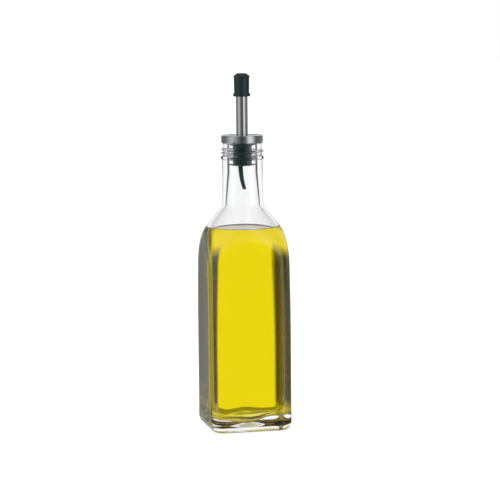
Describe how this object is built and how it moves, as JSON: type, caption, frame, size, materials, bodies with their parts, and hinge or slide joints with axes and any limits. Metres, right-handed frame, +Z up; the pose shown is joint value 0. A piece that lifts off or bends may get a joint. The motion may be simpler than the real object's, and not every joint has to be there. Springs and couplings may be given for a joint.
{
  "type": "condiment bottle",
  "caption": "Square clear glass bottle of yellow table oil, with arched faces, a round neck and a capped steel pourer on a black finned stopper.",
  "frame": {"origin": "middle of the base, where the bottle stands", "axes": "+Z up the axis of the neck, X and Y square to the four flat faces, -Y the face shown"},
  "size_m": [0.062, 0.062, 0.2666],
  "materials": {
    "clear_glass": "clear pressed glass, thick at the base",
    "olive_oil": "clear bright yellow oil",
    "black_stopper": "black soft plastic, satin",
    "brushed_collar": "stainless steel, brushed round the rim",
    "polished_spout": "stainless steel, nearly polished",
    "black_cap": "black moulded plastic, satin"
  },
  "bodies": {
    "root": {"bottle": "clear_glass", "oil": "olive_oil", "stopper": "black_stopper", "vent_tube": "black_stopper", "collar": "brushed_collar", "spout": "polished_spout", "spout_cap": "black_cap"}
  },
  "joints": []
}
